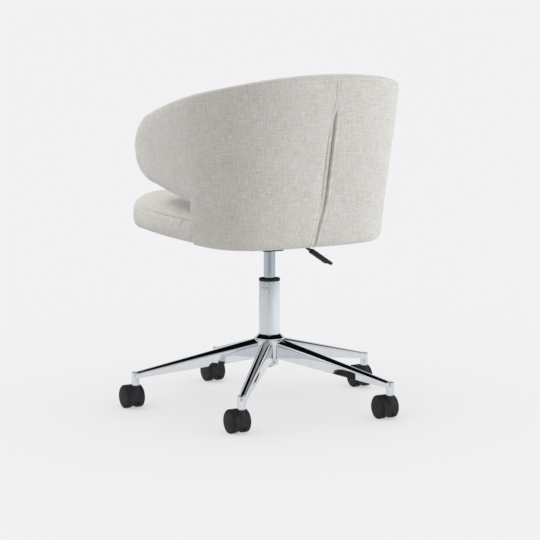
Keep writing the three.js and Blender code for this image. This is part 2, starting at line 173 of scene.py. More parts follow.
def place_camera():
    data = bpy.data.cameras.new("camera")
    data.lens = CAMERA_LENS
    data.sensor_width = 36
    data.clip_end = 200
    camera = bpy.data.objects.new("camera", data)
    bpy.context.collection.objects.link(camera)
    height = Vector((0, 0, CAMERA_HEIGHT))
    camera.location = AXIS + CAMERA_AWAY * BACKWARDS + CAMERA_SIDE * RIGHTWARDS + height
    camera.rotation_euler = (math.radians(90 - CAMERA_TILT), 0, math.pi - TURN)
    bpy.context.scene.camera = camera


def softbox(name, place, size, power):
    data = bpy.data.lights.new(name, "AREA")
    data.shape = "RECTANGLE"
    data.size, data.size_y = size
    data.energy = power
    light = bpy.data.objects.new(name, data)
    bpy.context.collection.objects.link(light)
    light.location = place
    light.rotation_euler = (LAMP_AIM - place).to_track_quat("-Z", "Y").to_euler()
    light.visible_glossy = False
    return data


def light_studio():
    """Even white light, and a dark ceiling and a dim wall that only metal mirrors."""
    n = Nodes("studio", bpy.data.worlds)
    bpy.context.scene.world = n.owner
    n.tree.nodes.clear()

    def background(colour, strength=1.0):
        return n.add("Background", {"Color": colour, "Strength": strength}).outputs[0]

    def cool_ramp(value, stops):
        return n.ramp(value, *((spot, (level * 0.975, level * 0.99, level)) for spot, level in stops))

    def chosen(flag, other, one):
        return n.add("MixShader", {"Fac": flag, 1: other, 2: one}).outputs[0]

    direction = n.add("TexCoord").outputs["Generated"]
    height = n.add("SeparateXYZ", {0: direction}).outputs["Z"]
    towards = n.add("VectorMath", {0: direction, 1: BACKWARDS}, operation="DOT_PRODUCT")
    ceiling, wall = cool_ramp(height, CEILING), cool_ramp(towards.outputs["Value"], DIM_WALL)
    both = n.add("MixRGB", {"Fac": 1, 1: ceiling, 2: wall}, blend_type="MULTIPLY").outputs[0]
    path = n.add("LightPath").outputs
    lit = chosen(path["Is Glossy Ray"], background((1, 1, 1, 1), EVEN_LIGHT), background(both))
    n.add("OutputWorld", {"Surface": chosen(path["Is Camera Ray"], lit, background(BACKDROP))})

    key = AXIS + KEY["right"] * RIGHTWARDS + KEY["back"] * BACKWARDS + Vector((0, 0, KEY["up"]))
    softbox("key_softbox", key, KEY["size"], KEY["power"]).color = KEY_COLOUR
    front = softbox("front_softbox", AXIS + Vector(FRONT["place"]), FRONT["size"], FRONT["power"])
    front.spread = math.radians(FRONT["spread"])


def deselect_all():
    bpy.ops.object.select_all(action="DESELECT")


def plane(name, side, place, turn):
    deselect_all()
    bpy.ops.mesh.primitive_plane_add(size=side, location=place, rotation=turn)
    bpy.context.active_object.name = name
    return bpy.context.active_object


def lay_floor():
    floor = plane("floor", FLOOR["side"], (0, 0, 0), (0, 0, 0))
    n = Nodes("pale_floor")
    n.set(Base_Color=(FLOOR["level"], FLOOR["level"], FLOOR["level"] * 1.01, 1), Roughness=0.9)
    # painted light: the floor's own glow lifts the shadows that fall on it
    n.set(Specular_IOR_Level=0.1, Emission_Color=(0.985, 0.985, 1, 1), Emission_Strength=FLOOR["glow"])
    floor.data.materials.append(n.owner)
    spare(floor)


def spare(floor):
    """Keeps the lamps off the floor, which only the even light shades."""
    spared = bpy.data.collections.new("spared")
    spared.objects.link(floor)
    spared.collection_objects[0].light_linking.link_state = "EXCLUDE"
    for lamp in bpy.data.objects:
        if lamp.type == "LIGHT":
            lamp.light_linking.receiver_collection = spared


def stand_card(name, place, turn, settings):
    """A glowing card that only mirrored rays see, and only from the side it faces: a painted reflection.
    """
    card = plane(name, 1, place, turn)
    card.scale = (*settings["size"], 1)
    n = Nodes(name)
    n.set(Base_Color=(0, 0, 0, 1), Specular_IOR_Level=0)
    # painted reflection: the card's glow, which only mirrored rays see
    n.set(Emission_Color=(0.95, 0.98, 1, 1), Emission_Strength=settings["level"])
    behind = n.add("NewGeometry").outputs["Backfacing"]
    clear = n.add("BsdfTransparent").outputs["BSDF"]
    either = n.add("MixShader", {"Fac": behind, 1: n.shader.outputs["BSDF"], 2: clear}).outputs[0]
    n.feed(n.tree.nodes["Material Output"].inputs["Surface"], either)
    card.data.materials.append(n.owner)
    card.visible_camera = card.visible_diffuse = card.visible_shadow = False


def stand_cards():
    """A grey card painting a grey reflection into the upright metal, a black one under the seat painting
    shade into the base.
    """
    place = AXIS + GREY_CARD["away"] * BACKWARDS + Vector((0, 0, GREY_CARD["up"]))
    stand_card("grey_card", place, (math.pi / 2, 0, -TURN), GREY_CARD)
    stand_card("black_card", AXIS + Vector((0, 0, BLACK_CARD["up"])), (math.pi, 0, 0), BLACK_CARD)


place_camera()
bpy.context.scene.view_settings.view_transform = "Standard"
light_studio()
lay_floor()
stand_cards()

# ---- Modelling helpers ----


def take(piece):
    deselect_all()
    piece.select_set(True)
    bpy.context.view_layer.objects.active = piece


def started(name):
    piece = bpy.context.active_object
    piece.name = piece.data.name = name
    settle(piece)
    return piece


def settle(piece):
    """Puts the piece's place into its mesh, so that its object stands at the origin."""
    take(piece)
    bpy.ops.object.transform_apply(location=True, rotation=True, scale=True)


def cylinder(name, radius, low, high, at=(0, 0), sides=64):
    deselect_all()
    place = (at[0], at[1], (low + high) / 2)
    bpy.ops.mesh.primitive_cylinder_add(vertices=sides, radius=radius, depth=high - low, location=place)
    return started(name)


def cross_cylinder(name, radius, left, right, y, z, sides=64):
    """A cylinder that lies along X."""
    deselect_all()
    place = ((left + right) / 2, y, z)
    bpy.ops.mesh.primitive_cylinder_add(
        vertices=sides, radius=radius, depth=right - left, location=place, rotation=(0, math.pi / 2, 0))
    return started(name)


def block(name, low, high):
    deselect_all()
    low, high = Vector(low), Vector(high)
    bpy.ops.mesh.primitive_cube_add(size=1, location=(low + high) / 2, scale=high - low)
    return started(name)


@contextmanager
def editing(piece, mode="FACE"):
    take(piece)
    bpy.ops.object.mode_set(mode="EDIT")
    bpy.ops.mesh.select_mode(type=mode)
    bpy.ops.mesh.select_all(action="DESELECT")
    yield bmesh.from_edit_mesh(piece.data)
    bpy.ops.object.mode_set(mode="OBJECT")


def choose(mesh, kind, test):
    for part in getattr(mesh, kind):
        part.select_set(bool(test(part)))
    mesh.select_flush_mode()


def facing(direction, least=0.9):
    return lambda face: face.normal.dot(Vector(direction)) > least


def extrude(move):
    bpy.ops.mesh.extrude_region_move(TRANSFORM_OT_translate={"value": move})


def resize(factor, centre):
    bpy.ops.transform.resize(value=factor, center_override=centre)


def step_ring(centre, rise, scale):
    """Extrudes the chosen end face along Z and then sizes it about the axis."""
    extrude((0, 0, rise))
    resize((scale, scale, 1), centre)


def cap_profile(piece, top, steps, centre):
    """Works an end face of a turned piece through steps of (rise, new radius / old radius)."""
    with editing(piece) as mesh:
        choose(mesh, "faces", facing((0, 0, 1 if top else -1)))
        for rise, scale in steps:
            step_ring(centre, rise, scale)


def modify(piece, kind, **settings):
    take(piece)
    modifier = piece.modifiers.new(kind.lower(), kind)
    for key, value in settings.items():
        setattr(modifier, key, value)
    bpy.ops.object.modifier_apply(modifier=modifier.name)


def combine(piece, other, operation="UNION"):
    modify(piece, "BOOLEAN", object=other, operation=operation, solver="EXACT")
    bpy.data.objects.remove(other)


def soften(piece, width, segments=3, angle=35):
    modify(piece, "BEVEL", width=width, segments=segments, limit_method="ANGLE",
           angle_limit=math.radians(angle), harden_normals=False, miter_outer="MITER_ARC")


def smooth(piece, angle=40):
    take(piece)
    bpy.ops.object.shade_smooth_by_angle(angle=math.radians(angle))


def copied(piece, name, matrix):
    copy = piece.copy()
    copy.data = piece.data.copy()
    copy.name = copy.data.name = name
    copy.data.transform(matrix)
    bpy.context.collection.objects.link(copy)
    return copy


def dress(piece, slot, body, *nodes):
    """Gives a piece its finish, the body it moves with and the CAD nodes it stands for."""
    piece.data.materials.clear()
    piece.data.materials.append(FINISHES[slot])
    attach(piece, body)
    if nodes:
        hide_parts(*nodes)


# ---- Finishes ----


def grey(level):
    return (level, level, level)


def woven_cloth():
    """Heathered linen weave on the piece's own UV map, which is in metres."""
    n = Nodes("heathered_linen")
    cloth = n.add("UVMap", uv_map="weave").outputs["UV"]
    warp = n.noise(n.scaled(cloth, (900, 75, 1)), 1.0, 3, 0.6)
    weft = n.noise(n.scaled(cloth, (75, 900, 1)), 1.0, 3, 0.6)
    slub_up = n.noise(n.scaled(cloth, (330, 32, 1)), 1.0, 2, 0.5)
    slub_along = n.noise(n.scaled(cloth, (32, 330, 1)), 1.0, 2, 0.5)
    fleck = n.noise(n.scaled(cloth, (420, 420, 1)), 1.0, 2, 0.6)
    patch = n.noise(n.scaled(cloth, (14, 14, 1)), 1.0, 2, 0.5)
    threads = n.total((warp, 0.5), (weft, 0.5))
    slubs = n.total((slub_up, 0.5), (slub_along, 0.5))
    blotch = n.math("SUBTRACT", patch, 0.5)
    blend = n.total((threads, 0.40), (slubs, 0.36), (fleck, 0.24), (blotch, 0.05))
    colour = n.ramp(blend, (0.38, (0.335, 0.303, 0.275)), (0.455, (0.435, 0.410, 0.376)),
                    (0.53, (0.505, 0.488, 0.455)), (0.62, (0.60, 0.593, 0.57)))
    n.set(Base_Color=colour, Roughness=0.95, Sheen_Weight=0.30, Sheen_Roughness=0.6)
    n.set(Specular_IOR_Level=0.15)
    weave = n.math("MULTIPLY", n.bands(cloth, "X"), n.bands(cloth, "Y"))
    relief = n.total((weave, 0.7), (blend, 1.6))
    n.set(Normal=n.bump(relief, 0.0005, 0.5))
    return n.owner


def polished_chrome():
    n = Nodes("polished_chrome")
    smear = n.noise(n.place(), 40.0, 3)
    n.set(Base_Color=n.ramp(smear, (0.3, (0.70, 0.725, 0.75)), (0.7, (0.76, 0.78, 0.80))), Metallic=1.0)
    n.set(Roughness=n.math("ADD", n.math("MULTIPLY", smear, 0.03), 0.01))
    n.set(Normal=n.bump(n.noise(n.place(), 9.0, 1), 0.0006, 0.15))
    return n.owner


def satin_silver():
    n = Nodes("satin_silver")
    grain = n.noise(n.scaled(n.place(), (900, 900, 60)), 1.0, 2)
    colour = n.ramp(grain, (0.3, (0.66, 0.69, 0.715)), (0.7, (0.735, 0.76, 0.78)))
    n.set(Base_Color=colour, Metallic=0.5)
    n.set(Roughness=n.math("ADD", n.math("MULTIPLY", grain, 0.12), 0.30))
    n.set(Normal=n.bump(grain, 0.0001, 0.3))
    return n.owner


def ground_steel():
    n = Nodes("ground_steel")
    grain = n.noise(n.scaled(n.place(), (200, 200, 2500)), 1.0, 2)
    colour = n.ramp(grain, (0.3, (0.40, 0.455, 0.50)), (0.7, (0.48, 0.535, 0.58)))
    n.set(Base_Color=colour, Metallic=1.0)
    n.set(Roughness=n.math("ADD", n.math("MULTIPLY", grain, 0.06), 0.07))
    n.set(Normal=n.bump(grain, 0.00005, 0.3))
    return n.owner


def black_paint():
    n = Nodes("black_paint")
    peel = n.noise(n.place(), 700.0, 2)
    n.set(Base_Color=n.ramp(peel, (0.3, grey(0.012)), (0.7, grey(0.02))))
    n.set(Roughness=n.math("ADD", n.math("MULTIPLY", peel, 0.15), 0.32))
    n.set(Normal=n.bump(peel, 0.0001, 0.4))
    return n.owner


def black_nylon():
    n = Nodes("black_nylon")
    grain = n.noise(n.place(), 1500.0, 3, 0.6)
    cloud = n.noise(n.place(), 60.0, 2)
    colour = n.ramp(cloud, (0.3, (0.021, 0.0215, 0.023)), (0.7, (0.030, 0.031, 0.033)))
    n.set(Base_Color=colour, Roughness=n.math("ADD", n.math("MULTIPLY", grain, 0.16), 0.36))
    n.set(Specular_IOR_Level=0.05, Normal=n.bump(grain, 0.00012, 0.5))
    return n.owner


def raw_plywood():
    n = Nodes("raw_plywood")
    rings = n.noise(n.scaled(n.place(), (6, 90, 90)), 1.0, 4, 0.6)
    colour = n.ramp(rings, (0.35, (0.42, 0.28, 0.15)), (0.65, (0.62, 0.45, 0.27)))
    n.set(Base_Color=colour, Roughness=0.75, Normal=n.bump(rings, 0.0003, 0.4))
    return n.owner


def lining_felt():
    n = Nodes("lining_felt")
    fibre = n.noise(n.place(), 800.0, 4, 0.7)
    n.set(Base_Color=n.ramp(fibre, (0.35, grey(0.012)), (0.7, grey(0.035))), Roughness=0.95)
    n.set(Normal=n.bump(fibre, 0.0004, 0.6))
    return n.owner


FINISHES = {
    "upholstery": woven_cloth(), "chrome": polished_chrome(), "satin_tube": satin_silver(),
    "steel": ground_steel(), "black_steel": black_paint(), "black_plastic": black_nylon(),
    "plywood": raw_plywood(), "lining": lining_felt(),
}


def finish_cad_nodes():
    for part in frame["record"]["subparts"]:
        node = frame["nodes"][part["node"]]
        node.data.materials.clear()
        node.data.materials.append(FINISHES[part["material_slot"]])


finish_cad_nodes()

# ---- Star base ----
LEGS = 5
hub_low, hub_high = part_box("base_hub")
HUB_RADIUS = (hub_high.x - hub_low.x) / 2
HUB = {"lip": 26.5 * MM, "bore": 25.3 * MM, "toe": 21.3 * MM, "toe_deep": 5 * MM, "well": 146 * MM}
HUB_FLARE = {"out": 4.5 * MM, "rise": 4 * MM, "band": 2 * MM, "shoulder": 9 * MM, "round": 0.9 * MM}
POST = {"r": 9.5 * MM, "round": 2 * MM, "bore": 6 * MM}
LEG_ROOT = {"x": 24 * MM, "width": 29 * MM, "low": 120 * MM, "high": 168 * MM}
LEG_TIP = {"width": 19 * MM, "low": 75 * MM, "high": 90 * MM}


def post_place(i):
    return middle(f"caster_stem_{i}")


POST_CIRCLE = (post_place(1) - COLUMN).to_2d().length


def leg_turn(i):
    away = post_place(i) - COLUMN
    return math.atan2(away.y, away.x)


def make_leg():
    """One leg, drawn along +X from the column's axis."""
    root_height = LEG_ROOT["high"] - LEG_ROOT["low"]
    tip_height = LEG_TIP["high"] - LEG_TIP["low"]
    half = LEG_ROOT["width"] / 2
    leg = block("leg", (LEG_ROOT["x"], -half, LEG_ROOT["low"]), (POST_CIRCLE, half, LEG_ROOT["high"]))
    with editing(leg) as mesh:
        choose(mesh, "faces", facing((1, 0, 0)))
        centre = (POST_CIRCLE, 0, (LEG_ROOT["low"] + LEG_ROOT["high"]) / 2)
        resize((1, LEG_TIP["width"] / LEG_ROOT["width"], tip_height / root_height), centre)
        drop = (LEG_TIP["low"] + LEG_TIP["high"] - LEG_ROOT["low"] - LEG_ROOT["high"]) / 2
        bpy.ops.transform.translate(value=(0, 0, drop))
        # the flat sides stop a leg's width below the crown, where the round top springs
        spring = LEG_ROOT["high"] - LEG_ROOT["width"]
        slope = Vector((POST_CIRCLE - LEG_ROOT["x"], 0, LEG_TIP["low"] + 0.5 * MM - spring))
        bpy.ops.mesh.select_all(action="SELECT")
        across_slope = slope.cross(Vector((0, 1, 0)))
        bpy.ops.mesh.bisect(plane_co=(LEG_ROOT["x"], 0, spring), plane_no=across_slope)
        choose(mesh, "edges", is_crown_edge)
        bpy.ops.mesh.bevel(offset_type="PERCENT", offset_pct=49.9, segments=12, affect="EDGES")
        bpy.ops.mesh.select_all(action="SELECT")
        bpy.ops.mesh.remove_doubles(threshold=0.05 * MM)
    post = cylinder("post", POST["r"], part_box("base_leg_1")[0].z, LEG_TIP["high"], (POST_CIRCLE, 0), 48)
    with editing(post, "EDGE") as mesh:
        choose(mesh, "edges", lambda e: all(v.co.z > LEG_TIP["high"] - MM for v in e.verts))
        bpy.ops.mesh.bevel(offset=POST["round"], segments=4, affect="EDGES")
    combine(leg, post)
    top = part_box("caster_stem_1")[1].z + MM
    combine(leg, cylinder("bore", POST["bore"], 40 * MM, top, (POST_CIRCLE, 0), 32), "DIFFERENCE")
    core = cylinder("core", HUB_RADIUS - 0.2 * MM, 50 * MM, 250 * MM, sides=96)
    combine(leg, core, "DIFFERENCE")
    smooth(leg, 32)
    return leg


def is_crown_edge(edge):
    a, b = edge.verts[0].co, edge.verts[1].co
    lower, upper = sorted((a.z, b.z))
    return abs(a.x - b.x) > 0.1 and upper > LEG_ROOT["high"] - MM and lower > LEG_TIP["high"] - MM


def place_legs():
    pattern = make_leg()
    for i in range(1, LEGS + 1):
        matrix = Matrix.Translation(AXIS) @ Matrix.Rotation(leg_turn(i), 4, "Z")
        leg = copied(pattern, f"chromed_leg_{i}", matrix)
        dress(leg, "chrome", "base", f"base_leg_{i}")
    bpy.data.objects.remove(pattern)


def make_hub():
    """Turned hub: a flare under a sloping shoulder, a well for the lift and a pocket at the toe."""
    flare = HUB_RADIUS + HUB_FLARE["out"]
    outline = [(HUB_FLARE["rise"], flare), (HUB_FLARE["band"], flare),
               (HUB_FLARE["shoulder"], HUB["lip"]), (0, HUB["bore"])]
    start = hub_high.z - sum(rise for rise, _ in outline)
    hub = cylinder("chromed_hub", HUB_RADIUS, hub_low.z, start, AXIS, 96)
    steps, radius = [], HUB_RADIUS
    for rise, smaller in outline:
        steps.append((rise, smaller / radius))
        radius = smaller
    cap_profile(hub, True, steps + [(HUB["well"] - hub_high.z, 1)], AXIS)
    cap_profile(hub, False, [(0, HUB["toe"] / HUB_RADIUS), (HUB["toe_deep"], 1)], AXIS)
    soften(hub, HUB_FLARE["round"], 3, 25)
    smooth(hub, 30)
    dress(hub, "chrome", "base", "base_hub")


place_legs()
make_hub()

# ---- Gas lift ----
SLEEVE = {"toe": 21 * MM, "toe_tall": 17 * MM, "taper": 51 * MM, "mouth": 22.8 * MM, "drain": 12 * MM}
PUNCH = {"r": 1.8 * MM, "in": -6 * MM, "out": 2 * MM, "off": 1.2 * MM}
BUSH = {"bore": 14.35 * MM, "collar": 5.4 * MM, "skirt": 22.4 / 25.2, "round": 1.1 * MM}
GAS = {"neck": 18 * MM, "tip": 13.4 / 14, "valve": 3.4 / 13.4, "foot": 4.5 / 14, "round": 0.8 * MM}


def make_column():
    """Outer tube, with its toe narrowed to sit in the hub and the marks of the press on it."""
    low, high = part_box("column_tube")
    radius = (high.x - low.x) / 2
    toe, mouth = SLEEVE["toe"], SLEEVE["mouth"]
    tube = cylinder("column_sleeve", toe, low.z, low.z + SLEEVE["toe_tall"], AXIS, 96)
    rise = high.z - low.z - SLEEVE["toe_tall"] - SLEEVE["taper"]
    top = [(SLEEVE["taper"], radius / toe), (rise, 1), (0, mouth / radius), (-0.5 * MM, 1)]
    cap_profile(tube, True, top, AXIS)
    cap_profile(tube, False, [(0, SLEEVE["drain"] / toe), (1 * MM, 1)], AXIS)
    soften(tube, 0.6 * MM, 2, 25)
    for angle, z, reach in press_marks(high.z, low.z, radius, toe):
        punch = cylinder("punch", PUNCH["r"], PUNCH["in"], PUNCH["out"], sides=20)
        spot = AXIS + Vector((reach * math.cos(angle), reach * math.sin(angle), z))
        punch.data.transform(Matrix.Rotation(angle, 4, "Z") @ Matrix.Rotation(math.pi / 2, 4, "Y"))
        punch.data.transform(Matrix.Translation(spot))
        combine(tube, punch, "DIFFERENCE")
    smooth(tube, 30)
    dress(tube, "satin_tube", "base", "column_tube")


def press_marks(top, bottom, radius, toe):
    """Pairs of small marks near the top of the sleeve and on its toe, where the press held it."""
    marks = []
    for opposite in (0, 180):
        for side in (-14, 14):
            upper = math.radians(opposite + 29.5 + side)
            lower = math.radians(opposite + 72 + 1.35 * side)
            marks.append((upper, top - 15 * MM, radius + PUNCH["off"]))
            marks.append((lower, bottom + 7 * MM, toe + PUNCH["off"]))
    return marks


def make_bush():
    low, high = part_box("column_bush")
    radius = (high.x - low.x) / 2
    under = high.z - BUSH["collar"]
    bush = cylinder("sleeve_bush", radius, under, high.z, AXIS, 96)
    cap_profile(bush, True, [(0, BUSH["bore"] / radius), (-5 * MM, 1)], AXIS)
    cap_profile(bush, False, [(0, BUSH["skirt"]), (low.z - under, 1)], AXIS)
    soften(bush, BUSH["round"], 4, 40)
    smooth(bush, 30)
    dress(bush, "black_plastic", "base", "column_bush")


def make_cylinder():
    low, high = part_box("gas_cylinder")
    radius = (high.x - low.x) / 2
    gas = cylinder("gas_cylinder_tube", radius, low.z, high.z - GAS["neck"], AXIS, 96)
    cap_profile(gas, True, [(GAS["neck"], GAS["tip"]), (0, GAS["valve"]), (-8 * MM, 1)], AXIS)
    cap_profile(gas, False, [(0, GAS["foot"]), (6 * MM, 1)], AXIS)
    soften(gas, GAS["round"], 2, 40)
    smooth(gas, 30)
    dress(gas, "steel", "seat", "gas_cylinder")


make_column()
make_bush()
make_cylinder()

# ---- Upholstery ----
# Outline of the shell and seat seen from above, from the column's axis
BACK = {"low": 222 * MM, "high": 289.5 * MM}
SIDE = {"low": 238 * MM, "high": 277 * MM}
SQUARE = {"low": 3.5, "high": 2.75}
LEAN = {"from": 430 * MM, "to": 780 * MM, "power": 1.2}
CLOSING = 0.3  # per metre: how the sides draw in towards the front
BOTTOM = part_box("back_shell")[0].z - 5 * MM  # the cloth is drawn under the frame
CREST = {"z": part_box("back_shell")[1].z, "slope": 0.33, "blend": 350 * MM}
WALL = 52 * MM
ARM = {"lower": 503 * MM, "rise": 0.15, "from": -140 * MM, "nose": -233 * MM, "drop": 9.5 * MM,
       "round": 2.75}
NOTCH = {"open": 13.5, "shut": 12}
FOOT = {"y": 50 * MM, "z": 465 * MM, "top": 503 * MM, "lean": 0.23, "spread": 45 * MM}
MID = 600 * MM
SHRINK = 1.5 * MM  # the skin starts this much inside and is blown up
CREST_CORNER = 4.2  # superellipse exponents of the top edge and the bottom edge
BOTTOM_CORNER = 2.4
CREST_SEAM = 16 * MM  # below the crest
FOAM_GRIP = 0.5  # how firmly the foam holds the cloth over it


def clamp(value, low=0.0, high=1.0):
    return max(low, min(high, value))


def lerp(a, b, t):
    return a + (b - a) * t


def smoothstep(low, high, value):
    t = clamp((value - low) / (high - low))
    return t * t * (3 - 2 * t)


def bell(value, width):
    return math.exp(-((value / width) ** 2))


def across(size, z):
    part = clamp((z - LEAN["from"]) / (LEAN["to"] - LEAN["from"]))
    return lerp(size["low"], size["high"], part ** LEAN["power"])


def outer_face(station, z):
    """Outer face of the shell at height z, from the column. A station is an angle round the back,
    90 at the middle and 0 at the side, or below zero a distance forward of the column."""
    half, back, n = across(SIDE, z), across(BACK, z), across(SQUARE, z)
    if station < 0:
        return Vector((half - CLOSING * station ** 2, station, z))
    c, s = math.cos(math.radians(station)), math.sin(math.radians(station))
    reach = (abs(c) ** n + s ** n) ** (1 / n)
    y = back * s / reach
    rake = FOOT["lean"] * (min(z, FOOT["top"]) - FOOT["z"])
    y += rake * math.exp(-(((y - FOOT["y"]) / FOOT["spread"]) ** 2))
    return Vector((half * c / reach, y, z))


def inward(station):
    step = 0.5 if station > 0 else 0.5 * MM
    along = outer_face(station + step, MID) - outer_face(station - step, MID)
    return -Vector((along.y, -along.x, 0)).normalized()


def shell_stations():
    """Stations of one half, from the middle of the back to the nose of the arm."""
    spots = [90 - math.degrees(k * MM / across(BACK, MID)) for k in range(25)]
    step = 0.3
    while spots[-1] > 19.5:
        step = min(step * 1.3, 1.6)
        spots.append(spots[-1] - step)
    spots += [18 - 0.5 * k for k in range(20)]
    spots += [7, 5.5, 4, 2.6, 1.2, 0.3]
    front = -4 * MM
    while front > ARM["from"]:
        spots.append(front)
        front -= 7 * MM
    spots += [lerp(ARM["from"], ARM["nose"], 1 - (1 - k / 16) ** 1.6) for k in range(16)]
    spots.append(lerp(ARM["from"], ARM["nose"], 0.997))
    return spots


def corner(turn, depth, rise, squareness):
    """A point of a rounded edge: how far in from the outer face and how far up."""
    c, s = math.cos(turn), math.sin(turn)
    bent = math.copysign(abs(c) ** (2 / squareness), c)
    return depth * (1 - bent), rise * s ** (2 / squareness)


OUTER_COLUMNS, INNER_COLUMNS, BOTTOM_COLUMNS = 26, 16, 9
CREST_TURNS = [3, 5.5, 8, 10, 12, 13.5, 15, 16.5, 18, 20, 23, 27, 32, 38, 45, 53, 62, 71, 80, 90,
               100, 110, 120, 130, 140, 150, 160, 170]


class Shell:
    """The barrel shell as rows of points: one row for each station, one column round its section."""

    def __init__(self, shrink):
        self.shrink = shrink
        half = shell_stations()
        lengths = [0.0]
        points = [outer_face(s, MID) for s in half]
        for a, b in zip(points, points[1:]):
            lengths.append(lengths[-1] + (b - a).length)
        self.stations = half[:0:-1] + half
        self.lengths = [-length for length in lengths[:0:-1]] + lengths
        self.rows = [self.row(i) for i in range(len(self.stations))]

    def span(self, i):
        station = self.stations[i]
        fall = math.hypot(self.lengths[i], CREST["blend"]) - CREST["blend"]
        crest = CREST["z"] - CREST["slope"] * fall
        arm = ARM["lower"] + ARM["rise"] * (FOOT["y"] - outer_face(station, ARM["lower"]).y)
        foot = smoothstep(-NOTCH["open"], -NOTCH["shut"], -station)
        part = max(0, (ARM["from"] - station) / (ARM["from"] - ARM["nose"]))
        low = lerp(BOTTOM, arm, foot)
        mid = (low + crest) / 2 - ARM["drop"] * part
        half = (crest - low) / 2 * (1 - part ** ARM["round"]) ** (1 / ARM["round"])
        wall = WALL * math.sqrt(1 - part ** 4)
        return mid - half + self.shrink, mid + half - self.shrink, max(wall - 2 * self.shrink, 2 * MM)

    def section(self, i):
        """(depth from the outer face, height) for each column, from the bottom of the outer face."""
        low, high, wall = self.span(i)
        bend = min(wall / 2, (high - low) / 2)
        foot, head = low + bend, high - bend
        spots = [(0, lerp(foot, head, k / OUTER_COLUMNS)) for k in range(OUTER_COLUMNS + 1)]
        for turn in CREST_TURNS:
            depth, rise = corner(math.radians(turn), wall / 2, bend, CREST_CORNER)
            spots.append((depth, head + rise))
        spots += [(wall, lerp(head, foot, k / INNER_COLUMNS)) for k in range(INNER_COLUMNS + 1)]
        for k in range(1, BOTTOM_COLUMNS):
            depth, rise = corner(math.pi * (1 - k / BOTTOM_COLUMNS), wall / 2, bend, BOTTOM_CORNER)
            spots.append((depth, foot - rise))
        return [(depth + self.shrink, z) for depth, z in spots]

    def row(self, i):
        side = -1 if self.lengths[i] < 0 else 1
        station = self.stations[i]
        into = inward(station)
        points = []
        for depth, z in self.section(i):
            p = outer_face(station, z) + into * depth
            points.append(AXIS + Vector((p.x * side, p.y, p.z)))
        return points


def skin_mesh(name, rows, uv=None):
    """A closed quad skin over rows of points, with a fan at each end. uv(row, column) is in metres."""
    mesh = bmesh.new()
    weave = mesh.loops.layers.uv.new("weave")
    grid = [[mesh.verts.new(p) for p in row] for row in rows]
    count = len(rows[0])

    def face(corners, spots):
        made = mesh.faces.new(corners)
        for loop, spot in zip(made.loops, spots):
            loop[weave].uv = uv(*spot) if uv else (0, 0)

    for i in range(len(grid) - 1):
        for j in range(count):
            k = (j + 1) % count
            face((grid[i][j], grid[i][k], grid[i + 1][k], grid[i + 1][j]),
                 ((i, j), (i, j + 1), (i + 1, j + 1), (i + 1, j)))
    for r in (0, len(grid) - 1):
        hub = mesh.verts.new(sum((v.co for v in grid[r]), Vector()) / count)
        for j in range(count):
            face((grid[r][j], grid[r][(j + 1) % count], hub), ((r, j), (r, j + 1), (r, j)))
    bmesh.ops.recalc_face_normals(mesh, faces=mesh.faces)
    data = bpy.data.meshes.new(name)
    mesh.to_mesh(data)
    mesh.free()
    piece = bpy.data.objects.new(name, data)
    bpy.context.collection.objects.link(piece)
    return piece


def thinned(count, apart, place):
    """Indices of rows or columns at least apart from each other, with the first and the last."""
    kept = [0]
    for i in range(1, count - 1):
        if abs(place(i) - place(kept[-1])) >= apart and abs(place(count - 1) - place(i)) >= apart / 2:
            kept.append(i)
    return kept + [count - 1]


CLOTH = {"quality": 6, "mass": 0.3, "tension_stiffness": 20, "compression_stiffness": 20,
         "shear_stiffness": 20, "bending_stiffness": 2, "use_pressure": True,
         "uniform_pressure_force": 60}
SWELL_LIMIT = 4 * MM  # the most that the simulation may move the cloth


def blown(rows, kept_rows, kept_columns, held):
    """Blows the skin up as cloth on a coarse copy of it, held where the cloth is stapled or sewn down,
    and gives the rows back with that swelling spread over all their points."""
    coarse = [[rows[i][j] for j in kept_columns] for i in kept_rows]
    cloth = skin_mesh("cloth", coarse)
    group = cloth.vertex_groups.new(name="held")
    for a, i in enumerate(kept_rows):
        for b, j in enumerate(kept_columns):
            group.add([a * len(kept_columns) + b], held(i, j), "REPLACE")
    modifier = cloth.modifiers.new("cloth", "CLOTH")
    settings = modifier.settings
    for key, value in CLOTH.items():
        setattr(settings, key, value)
    settings.vertex_group_mass = group.name
    settings.effector_weights.gravity = 0
    scene = bpy.context.scene
    for frame_number in range(1, 21):
        scene.frame_set(frame_number)
    swollen = cloth.evaluated_get(bpy.context.evaluated_depsgraph_get()).data.vertices
    moves = []
    for a in range(len(kept_rows)):
        line = []
        for b in range(len(kept_columns)):
            k = a * len(kept_columns) + b
            outwards = cloth.data.vertices[k].normal
            swell = (swollen[k].co - coarse[a][b]).dot(outwards)
            line.append(outwards * clamp(swell, 0, SWELL_LIMIT))
        moves.append(line)
    scene.frame_set(1)
    bpy.data.objects.remove(cloth)
    return spread(rows, kept_rows, kept_columns, moves)


def spread(rows, kept_rows, kept_columns, moves):
    count = len(rows[0])
    wide = []
    for line in moves:
        full = []
        for b, j in enumerate(kept_columns):
            nxt = kept_columns[b + 1] if b + 1 < len(kept_columns) else count
            after = line[(b + 1) % len(line)]
            full += [line[b].lerp(after, (c - j) / (nxt - j)) for c in range(j, nxt)]
        wide.append(full)
    moved = []
    for a, i in enumerate(kept_rows[:-1]):
        for r in range(i, kept_rows[a + 1]):
            part = (r - i) / (kept_rows[a + 1] - i)
            moved.append([p + u.lerp(v, part) for p, u, v in zip(rows[r], wide[a], wide[a + 1])])
    moved.append([p + u for p, u in zip(rows[-1], wide[-1])])
    return moved


# Seams of the back, from its middle line: x is along the shell to the sitter's left
PLEAT = {"top": 716 * MM, "slit": -2 * MM, "fold": 8.5 * MM, "foot": 12 * MM, "deep": 11 * MM,
         "shallow": 6.5 * MM}
